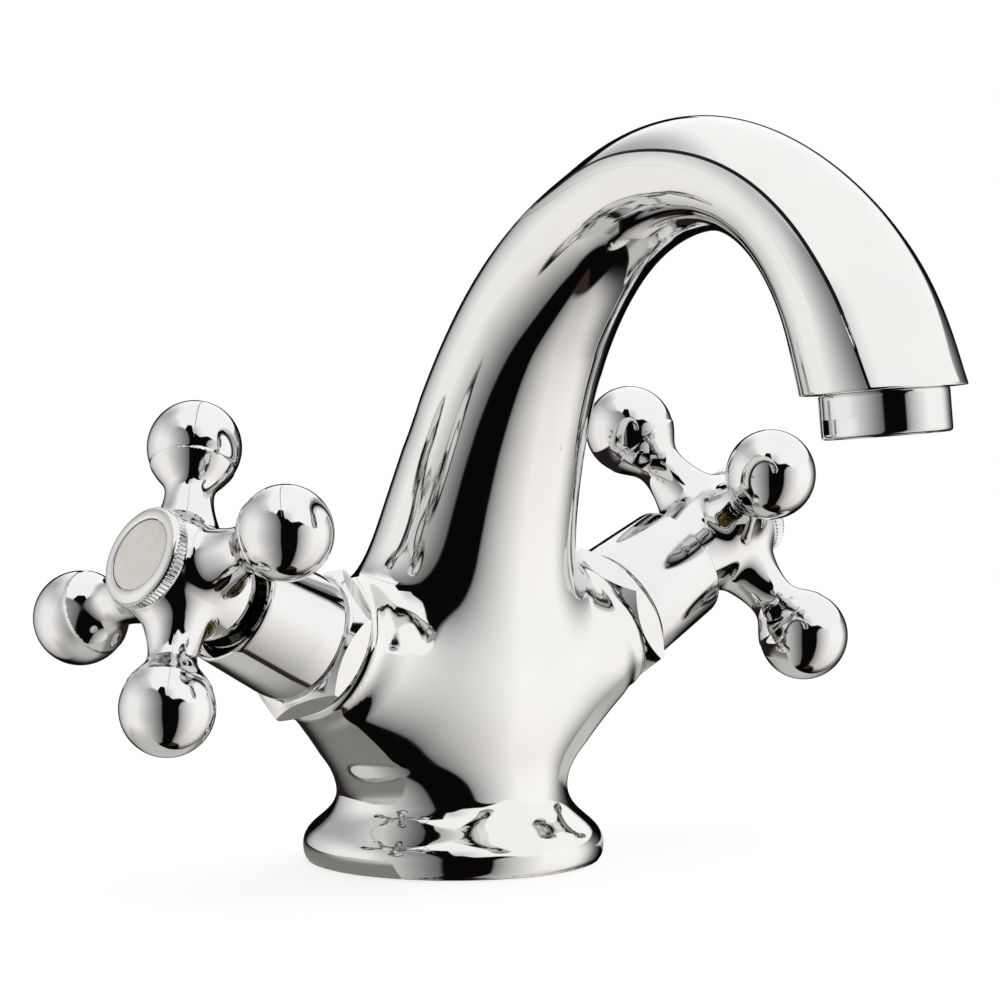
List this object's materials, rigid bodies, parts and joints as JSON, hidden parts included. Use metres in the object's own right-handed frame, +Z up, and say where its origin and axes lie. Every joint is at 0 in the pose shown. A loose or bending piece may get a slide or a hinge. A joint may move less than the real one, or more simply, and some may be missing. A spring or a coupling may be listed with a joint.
{
  "type": "two-handle basin mixer",
  "caption": "Deck-mounted basin mixer with a high arched spout, side valves under cross handles with ball ends, and an aerator outlet.",
  "frame": {"origin": "centre of the foot's underside, on the deck", "axes": "+Z up, -Y the way the spout points, -X towards the hot valve and +X towards the cold valve"},
  "size_m": [0.181, 0.168, 0.1499],
  "materials": {
    "chrome_body": "polished chrome plate over a brass casting",
    "chrome_handle": "polished chrome plate over a brass casting",
    "chrome_trim": "polished chrome plate over turned brass",
    "enamel": "off-white glossy enamel",
    "brass": "machined",
    "black_rubber": "moulded",
    "stainless": "turned or stamped",
    "ceramic": "lapped alumina ceramic",
    "white_plastic": "moulded"
  },
  "bodies": {
    "root": {"body": "chrome_body", "base_seal": "black_rubber", "aerator_housing": "chrome_trim", "aerator_insert": "white_plastic", "aerator_screen": "stainless", "aerator_seal": "black_rubber", "hot_bonnet": "chrome_trim", "hot_bonnet_ring": "white_plastic", "hot_valve_body": "brass", "hot_body_oring": "black_rubber", "hot_fixed_disc": "ceramic", "hot_seat_seal": "black_rubber", "cold_bonnet": "chrome_trim", "cold_bonnet_ring": "white_plastic", "cold_valve_body": "brass", "cold_body_oring": "black_rubber", "cold_fixed_disc": "ceramic", "cold_seat_seal": "black_rubber"},
    "hot_turn": {"hot_handle": "chrome_handle", "hot_handle_screw": "stainless", "hot_index_ring": "chrome_trim", "hot_index_disc": "enamel", "hot_spindle": "brass", "hot_spindle_orings": "black_rubber", "hot_circlip": "stainless", "hot_moving_disc": "ceramic"},
    "cold_turn": {"cold_handle": "chrome_handle", "cold_handle_screw": "stainless", "cold_index_ring": "chrome_trim", "cold_index_disc": "enamel", "cold_spindle": "brass", "cold_spindle_orings": "black_rubber", "cold_circlip": "stainless", "cold_moving_disc": "ceramic"}
  },
  "joints": [
    {"name": "hot_valve", "type": "hinge", "parent": "root", "child": "hot_turn", "pos_m": [-0.0701, -0.0026, 0.0619], "axis": [-0.8957, 0, 0.4446], "range_deg": [0, 90]},
    {"name": "cold_valve", "type": "hinge", "parent": "root", "child": "cold_turn", "pos_m": [0.0701, -0.0026, 0.0619], "axis": [0.8957, 0, 0.4446], "range_deg": [-90, 0]}
  ]
}
